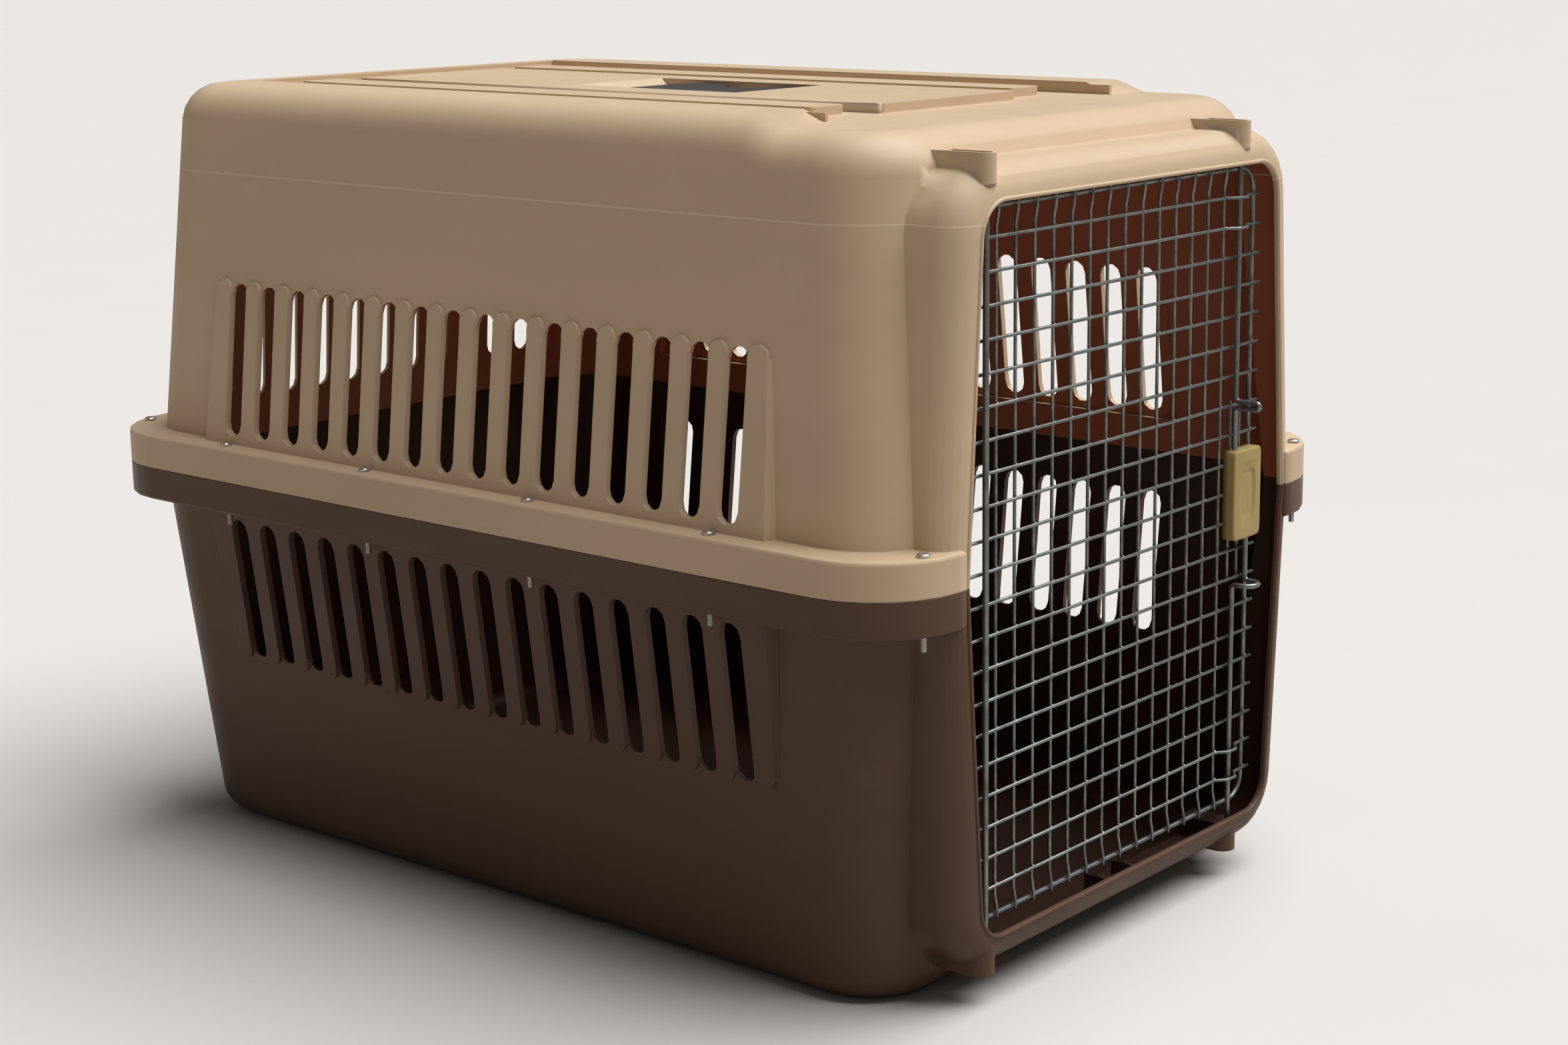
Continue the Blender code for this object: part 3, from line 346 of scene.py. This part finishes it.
def add_piece(name, mesh, body, finish, nodes, sharp):
    mesh.materials.clear()
    mesh.materials.append(finish)
    mesh.shade_smooth()
    mesh.set_sharp_from_angle(angle=math.radians(sharp))
    made = bpy.data.objects.new(name, mesh)
    bpy.context.scene.collection.objects.link(made)
    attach(made, body)
    if nodes:
        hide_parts(*nodes)
    return made


def piece(name, patches, body, finish, nodes=(), sharp=40):
    """One object from several patches, with points that meet welded."""
    starts = np.cumsum([0] + [len(points) for points, _ in patches[:-1]])
    points = np.concatenate([points for points, _ in patches])
    faces = np.concatenate([faces + start for (_, faces), start in zip(patches, starts)])
    mesh = bpy.data.meshes.new(name)
    mesh.from_pydata(points.tolist(), [], faces.tolist())
    weld(mesh)
    return add_piece(name, mesh, body, finish, nodes, sharp)


def weld(mesh, flat=0.0):
    """Joins points that meet, makes flat areas one face, and turns every face outward."""
    work = bmesh.new()
    work.from_mesh(mesh)
    bmesh.ops.remove_doubles(work, verts=work.verts, dist=0.00002)
    if flat:
        bmesh.ops.dissolve_limit(work, angle_limit=flat, verts=work.verts, edges=work.edges)
    bmesh.ops.recalc_face_normals(work, faces=work.faces)
    work.to_mesh(mesh)
    work.free()


def refinish(node_name, finish):
    """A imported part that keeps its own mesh, with a new finish."""
    NODES[node_name].data.materials.clear()
    NODES[node_name].data.materials.append(finish)


def smooth_copy(name, source, body, finish):
    """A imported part's own shape with its points joined, so that its curves shade as curves and its edges stay
    crisp."""
    mesh = NODES[source].data.copy()
    mesh.name = name
    weld(mesh, flat=0.002)
    made = add_piece(name, mesh, body, finish, [source], sharp=24)
    even = made.modifiers.new("even_shading", "WEIGHTED_NORMAL")
    even.keep_sharp = True
    even.weight = 100
    return made


# Paths

def turned_corners(points, radius, steps=6, closed=False):
    """A path with each corner replaced by an arc of the radius."""
    points = [Vector(p) for p in points]
    middle = range(len(points)) if closed else range(1, len(points) - 1)
    path = [] if closed else [points[0]]
    for k in middle:
        here = points[k]
        back = (points[k - 1] - here).normalized()
        ahead = (points[(k + 1) % len(points)] - here).normalized()
        half = back.angle(ahead) / 2
        centre = here + (back + ahead).normalized() * radius / math.sin(half)
        start = here + back * radius / math.tan(half) - centre
        axis = back.cross(ahead)
        sweep_angle = 2 * half - math.pi
        path += [centre + Matrix.Rotation(sweep_angle * step / steps, 3, axis) @ start
                 for step in range(steps + 1)]
    return np.array(path + ([] if closed else [points[-1]]))


def mouth_path(side, offset, y):
    """The doorway's outline in one shell, from seam to seam."""
    far_z = MOUTH_TOP_Z + offset if side > 0 else MOUTH_BOTTOM_Z - offset
    w, ws = MOUTH_HALF_WIDTH + offset, MOUTH_HALF_WIDTH_SEAM + offset
    near_z = SEAM_Z + side * GAP / 2
    corners = [(-ws, y, near_z), (-w, y, far_z), (w, y, far_z), (ws, y, near_z)]
    return turned_corners(corners, MOUTH_CORNER + offset, 16)


# The moulded shells, with a rolled bead along the doorway's lip

smooth_copy("upper_shell_moulding", "upper_shell", SHELL_BODY, CREAM)
smooth_copy("lower_shell_moulding", "lower_shell", SHELL_BODY, BROWN)
for shell_side, shell, shell_slot, shell_finish in ((1, "upper", "cream_plastic", CREAM),
                                                    (-1, "lower", "brown_plastic", BROWN)):
    bead = bar(mouth_path(shell_side, LIP_BEAD, BEAD_Y), LIP_BEAD, 16)
    piece(f"{shell}_doorway_bead", [bead], SHELL_BODY, shell_finish)


# The wire door

def row_path(k):
    """A cross wire; the outer two at each end step round the front of the latch rods."""
    z = ROWS_Z[k]
    if k not in GUIDE_ROWS:
        return [(ROW_LEFT, ROW_Y, z), (SHORT_ROW_RIGHT if k in SHORT_ROWS else ROW_RIGHT, ROW_Y, z)]
    corners = [(ROW_LEFT, ROW_Y, z), (LATCH_X - 0.016, ROW_Y, z), (LATCH_X - 0.006, GUIDE_Y, z),
               (LATCH_X + 0.006, GUIDE_Y, z), (LATCH_X + 0.016, ROW_Y, z), (ROW_RIGHT, ROW_Y, z)]
    return turned_corners(corners, 0.004, 4)


def door_wires():
    loop = turned_corners([(FRAME_LEFT, FRAME_Y, FRAME_BOTTOM), (FRAME_RIGHT, FRAME_Y, FRAME_BOTTOM),
                           (FRAME_RIGHT, FRAME_Y, FRAME_TOP), (FRAME_LEFT, FRAME_Y, FRAME_TOP)],
                          FRAME_CORNER, 8, closed=True)
    over = UPRIGHT_OVERHANG
    upright = [(0, UPRIGHT_END_Y, FRAME_BOTTOM - over), (0, UPRIGHT_END_Y, FRAME_BOTTOM + 0.004),
               (0, UPRIGHT_Y, FRAME_BOTTOM + 0.016), (0, UPRIGHT_Y, FRAME_TOP - 0.016),
               (0, UPRIGHT_END_Y, FRAME_TOP - 0.004), (0, UPRIGHT_END_Y, FRAME_TOP + over)]
    upright = bar(turned_corners(upright, 0.006, 3), WIRE_RADIUS)
    spread = np.stack([UPRIGHTS_X, 0 * UPRIGHTS_X, 0 * UPRIGHTS_X], axis=-1)
    piece("door_frame_and_uprights", [sweep(loop, FRAME_RADIUS, 18, closed=True), copies(upright, spread)],
          DOOR_BODY, ZINC, ["door_frame"])

    rows = [bar(row_path(k), WIRE_RADIUS) for k in range(len(ROWS_Z))]
    piece("door_cross_wires", rows, DOOR_BODY, ZINC,
          [f"cross_wire_{k + 1:02d}" for k in range(len(ROWS_Z))])

    low, high = ROWS_Z[13] - 0.003, ROWS_Z[7] + 0.003
    backs = [bar([(x, UPRIGHT_Y, low), (x, UPRIGHT_Y, high)], WIRE_RADIUS) for x in SUPPORT_WIRES]
    piece("latch_backing_wires", backs, DOOR_BODY, ZINC,
          ["latch_support_wire_left", "latch_support_wire_right"])

    rod_low, rod_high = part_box("hinge_rod")
    hinge = bar([(HINGE_X, ROD_Y, rod_low.z), (HINGE_X, ROD_Y, rod_high.z)], HINGE_RADIUS, 20)
    piece("hinge_rod_round", [hinge], DOOR_BODY, ZINC, ["hinge_rod"])


def weld_nuggets():
    """The metal squeezed out where two wires are welded: a flattened ball at every crossing."""
    polar = np.linspace(0, math.pi, 8)
    ball = np.stack([NUGGET_RADIUS * np.sin(polar), -NUGGET_HALF_HEIGHT * np.cos(polar)], axis=-1)
    ball = lathe(ball, (0, 0, 0), 12)
    x, z = np.meshgrid(UPRIGHTS_X, ROWS_Z)
    crossings = np.stack([x, 0 * x + (ROW_Y + UPRIGHT_Y) / 2 - 0.0002, z], axis=-1).reshape(-1, 3)
    ends = np.array([(x, (FRAME_Y + UPRIGHT_END_Y) / 2 - 0.0004, z)
                     for x in UPRIGHTS_X for z in (FRAME_BOTTOM, FRAME_TOP)])
    sides = np.array([(x, (FRAME_Y + ROW_Y) / 2 - 0.0006, z) for k, z in enumerate(ROWS_Z)
                      for x in ((FRAME_LEFT,) if k in SHORT_ROWS else (FRAME_LEFT, FRAME_RIGHT))])
    piece("door_weld_nuggets", [copies(ball, np.concatenate([crossings, ends, sides]))],
          DOOR_BODY, FASTENER)


door_wires()
weld_nuggets()


# The latch

def collar(x, z):
    """The ring on a rod that its spring pushes against."""
    inner, outer, half, edge = LATCH_RADIUS * 0.9, COLLAR_RADIUS, COLLAR_HALF, COLLAR_EDGE
    profile = [(inner, -half), (outer - edge, -half), (outer, edge - half), (outer, half - edge),
               (outer - edge, half), (inner, half)]
    return lathe(profile, (x, ROD_Y, z))


def latch_rods():
    """Each rod runs from its socket to a finger loop, and on into the housing."""
    x, y, z, half = LATCH_X, ROD_Y, UPPER_LOOP_Z, UPPER_LOOP_HALF
    t = np.linspace(0, math.pi, 13)
    turn = np.stack([0 * t + x, y - UPPER_LOOP_REACH - half * np.sin(t), z + half * np.cos(t)], axis=-1)
    above = turned_corners([(x, y, LATCH_TOP), (x, y, z + half), turn[0]], LOOP_BEND)
    below = turned_corners([turn[-1], (x, y, z - half), (x, y, UPPER_ROD_END)], LOOP_BEND)
    rod = bar(np.concatenate([above[:-1], turn, below[1:]]), LATCH_RADIUS, 18)
    piece("upper_latch_rod_round", [rod, collar(x, UPPER_COLLAR_Z)], "upper_latch", ZINC,
          ["upper_latch_rod"])

    z, half = LOWER_LOOP_Z, (LATCH_SIDE_X - x) / 2
    turn_y = y - LOWER_LOOP_REACH + half - half * np.sin(t)
    turn = np.stack([x + half + half * np.cos(t), turn_y, 0 * t + z], axis=-1)
    above = turned_corners([(LATCH_SIDE_X, y, LOWER_ROD_END), (LATCH_SIDE_X, y, z), turn[0]], LOOP_BEND)
    below = turned_corners([turn[-1], (x, y, z), (x, y, LATCH_BOTTOM)], LOOP_BEND)
    rod = bar(np.concatenate([above[:-1], turn, below[1:]]), LATCH_RADIUS, 18)
    piece("lower_latch_rod_round", [rod, collar(LATCH_SIDE_X, LOWER_COLLAR_Z)], "lower_latch",
          ZINC, ["lower_latch_rod"])


def housing_cover():
    """The latch's moulded cover. Rings of a rounded oblong run from the middle of the face to its edge, over
    a small round and back along the sides. The face is crowned across, by the square of the distance from its
    middle, and an oval thumb dish is pressed into it."""
    low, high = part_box("latch_housing")
    middle_x, middle_z = (low.x + high.x) / 2, (low.z + high.z) / 2
    half_x, half_z = (high.x - low.x) / 2, (high.z - low.z) / 2
    turn = np.linspace(0, 2 * math.pi, COVER_SPOKES, endpoint=False)
    oblong_x = np.sign(np.cos(turn)) * np.abs(np.cos(turn)) ** COVER_SQUARENESS
    oblong_z = np.sign(np.sin(turn)) * np.abs(np.sin(turn)) ** COVER_SQUARENESS
    out = np.linspace(0, 1, COVER_FACE_RINGS + 1)[:-1]
    over = np.linspace(0, math.pi / 2, COVER_EDGE_RINGS)
    inward = [half_x * (1 - out) + COVER_EDGE * out, COVER_EDGE * (1 - np.sin(over)), [0.0, 0.0]]
    inward = np.concatenate(inward)
    back = np.concatenate([0 * out, COVER_EDGE * (1 - np.cos(over)), [0.006, high.y - low.y]])
    x = (half_x - inward)[:, None] * oblong_x
    share = (half_x - inward)[:, None] / half_x
    z = (half_z - np.where(share > 0.9, inward[:, None], (1 - share) * half_z)) * oblong_z
    oval = (x / OVAL_HALF_WIDTH) ** 2 + (z / OVAL_HALF_HEIGHT) ** 2
    on_face = (np.arange(len(inward)) < COVER_FACE_RINGS)[:, None]
    dish = OVAL_DEPTH * np.clip((1 - oval) * 5.0, 0, 1) ** 1.5 * on_face
    crown = COVER_CROWN * (x / half_x) ** 2
    y = low.y + np.minimum(back[:, None] + crown, high.y - low.y) + dish
    points = np.stack([middle_x + x, y, middle_z + z], axis=-1).reshape(-1, 3)
    cover = piece("latch_housing_cover", [(points, quads(len(inward), COVER_SPOKES))],
                  DOOR_BODY, ALMOND, ["latch_housing"], sharp=60)
    wall = cover.modifiers.new("wall", "SOLIDIFY")
    wall.thickness, wall.offset = COVER_WALL, -1.0


latch_rods()
housing_cover()
for coil in ("upper_latch_spring", "lower_latch_spring"):
    refinish(coil, SPRING)


# Rim bolts: a pan head with a cross recess, and a threaded shank

def bolt():
    """One bolt from its head's middle down to its end. The head is a shallow dome, pressed down along two
    crossed bars, and the shank's radius falls and rises once a pitch, shifted by the angle, which is a screw
    thread."""
    across = np.linspace(0, 1, 12)
    dome = np.concatenate([across * BOLT_HEAD_RADIUS, [BOLT_HEAD_RADIUS, BOLT_RADIUS]])
    height = np.concatenate([BOLT_HEAD * (0.42 + 0.58 * np.sqrt(1 - 0.98 * across ** 2)), [0, 0]])
    points, faces = lathe(np.stack([dome, height], axis=-1), (0, 0, 0), 40)
    bars = np.minimum(np.abs(points[:, 0]), np.abs(points[:, 1]))
    reach = np.hypot(points[:, 0], points[:, 1])
    pressed = np.clip((CROSS_HALF_WIDTH - bars) / 0.0003, 0, 1)
    points[:, 2] -= CROSS_DEPTH * pressed * np.clip((CROSS_REACH - reach) / 0.0004, 0, 1)
    length = BOLT_SEAT_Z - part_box("rim_bolt_01")[0].z
    down = -np.linspace(0, length, int(length / THREAD_PITCH * 6))
    turn = np.linspace(0, 2 * math.pi, SHANK_SIDES, endpoint=False)[None, :]
    phase = (down[:, None] / THREAD_PITCH + turn / (2 * math.pi)) % 1
    radius = BOLT_RADIUS - THREAD_DEPTH * np.abs(2 * phase - 1)
    radius[-1] = 0.0
    radius[-2] *= 0.8
    shank = np.stack([radius * np.cos(turn), radius * np.sin(turn), down[:, None] + 0 * turn], axis=-1)
    return [(points, faces), (shank.reshape(-1, 3), quads(len(down), SHANK_SIDES))]


def rim_bolts():
    names = [f"rim_bolt_{number:02d}" for number in range(1, BOLT_COUNT + 1)]
    boxes = [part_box(name) for name in names]
    seats = [((low.x + high.x) / 2, (low.y + high.y) / 2, high.z - BOLT_HEAD) for low, high in boxes]
    piece("rim_bolts_round", [copies(patch, seats) for patch in bolt()], SHELL_BODY,
          FASTENER, names, sharp=28)


rim_bolts()
for bolt_number in range(1, BOLT_COUNT + 1):
    refinish(f"rim_nut_{bolt_number:02d}", FASTENER)


# The roof handle and its pins

smooth_copy("roof_handle_moulding", "roof_handle", "handle", GREY)
for pin in ("handle_pin_left", "handle_pin_right"):
    refinish(pin, FASTENER)


# Floor, light and camera

def stage():
    """A wide pale floor, just below the carrier."""
    floor_mesh = bpy.data.meshes.new("studio_floor")
    far = 30.0
    corners = [(-far, -far, 0), (far, -far, 0), (far, far, 0), (-far, far, 0)]
    floor_mesh.from_pydata(corners, [], [(0, 1, 2, 3)])
    paper, tree, shader, place = start_material("studio_paper")
    fibre = noise(tree, place, 3.0)
    paper_look = mixed(tree, fibre, (0.68, 0.668, 0.652, 1), (0.66, 0.648, 0.632, 1))
    seen = node(tree, "ShaderNodeLightPath").outputs["Is Camera Ray"]  # it sends up less light than it shows
    tree.links.new(mixed(tree, seen, (0.46, 0.42, 0.38, 1), paper_look), shader.inputs["Base Color"])
    shader.inputs["Roughness"].default_value = 0.9
    floor_mesh.materials.append(paper)
    floor = bpy.data.objects.new("studio_floor", floor_mesh)
    floor.location.z = -0.0005
    bpy.context.scene.collection.objects.link(floor)


def overhead_light():
    """One large soft light, nearly overhead and a little to the front and right, even over the whole
    floor."""
    made = bpy.data.lights.new("overhead", "SUN")
    made.energy, made.angle, made.color = 4.0, math.radians(56), (1.0, 0.99, 0.98)
    light = bpy.data.objects.new("overhead", made)
    light.rotation_euler = Vector((-0.30, 0.28, -0.91)).to_track_quat("-Z", "Y").to_euler()
    bpy.context.scene.collection.objects.link(light)


def world():
    """Surroundings that show as white, and light the carrier only weakly and warmly."""
    made = bpy.data.worlds.new("studio")
    bpy.context.scene.world = made
    made.use_nodes = True
    tree = made.node_tree
    background = tree.nodes["Background"]
    seen = node(tree, "ShaderNodeLightPath").outputs["Is Camera Ray"]
    tree.links.new(mixed(tree, seen, (1.0, 0.92, 0.82, 1), (1, 1, 1, 1)), background.inputs["Color"])
    tree.links.new(remap(tree, seen, 0.0, 1.0, 0.115, 0.92), background.inputs["Strength"])


def camera():
    """At standing height off the front left corner, with the frame shifted a little left and down."""
    yaw, pitch, roll = (math.radians(a) for a in (38.61, 12.24, -0.41))
    ahead = Vector((math.cos(yaw) * math.cos(pitch), math.sin(yaw) * math.cos(pitch), -math.sin(pitch)))
    right = Vector((math.sin(yaw), -math.cos(yaw), 0))
    up = right.cross(ahead)
    across = math.cos(roll) * right + math.sin(roll) * up
    upward = math.cos(roll) * up - math.sin(roll) * right
    made = bpy.data.cameras.new("camera")
    made.lens, made.sensor_width = 61.34, 36.0
    made.shift_x, made.shift_y = -0.0604, -0.0208
    made.clip_end = 200.0
    view = bpy.data.objects.new("camera", made)
    turn = Matrix((across, upward, -ahead)).transposed().to_4x4()
    view.matrix_world = Matrix.Translation((-1.7714, -1.6177, 0.8343)) @ turn
    bpy.context.scene.collection.objects.link(view)
    bpy.context.scene.camera = view


stage()
world()
overhead_light()
camera()
bpy.context.scene.view_settings.view_transform = "Standard"
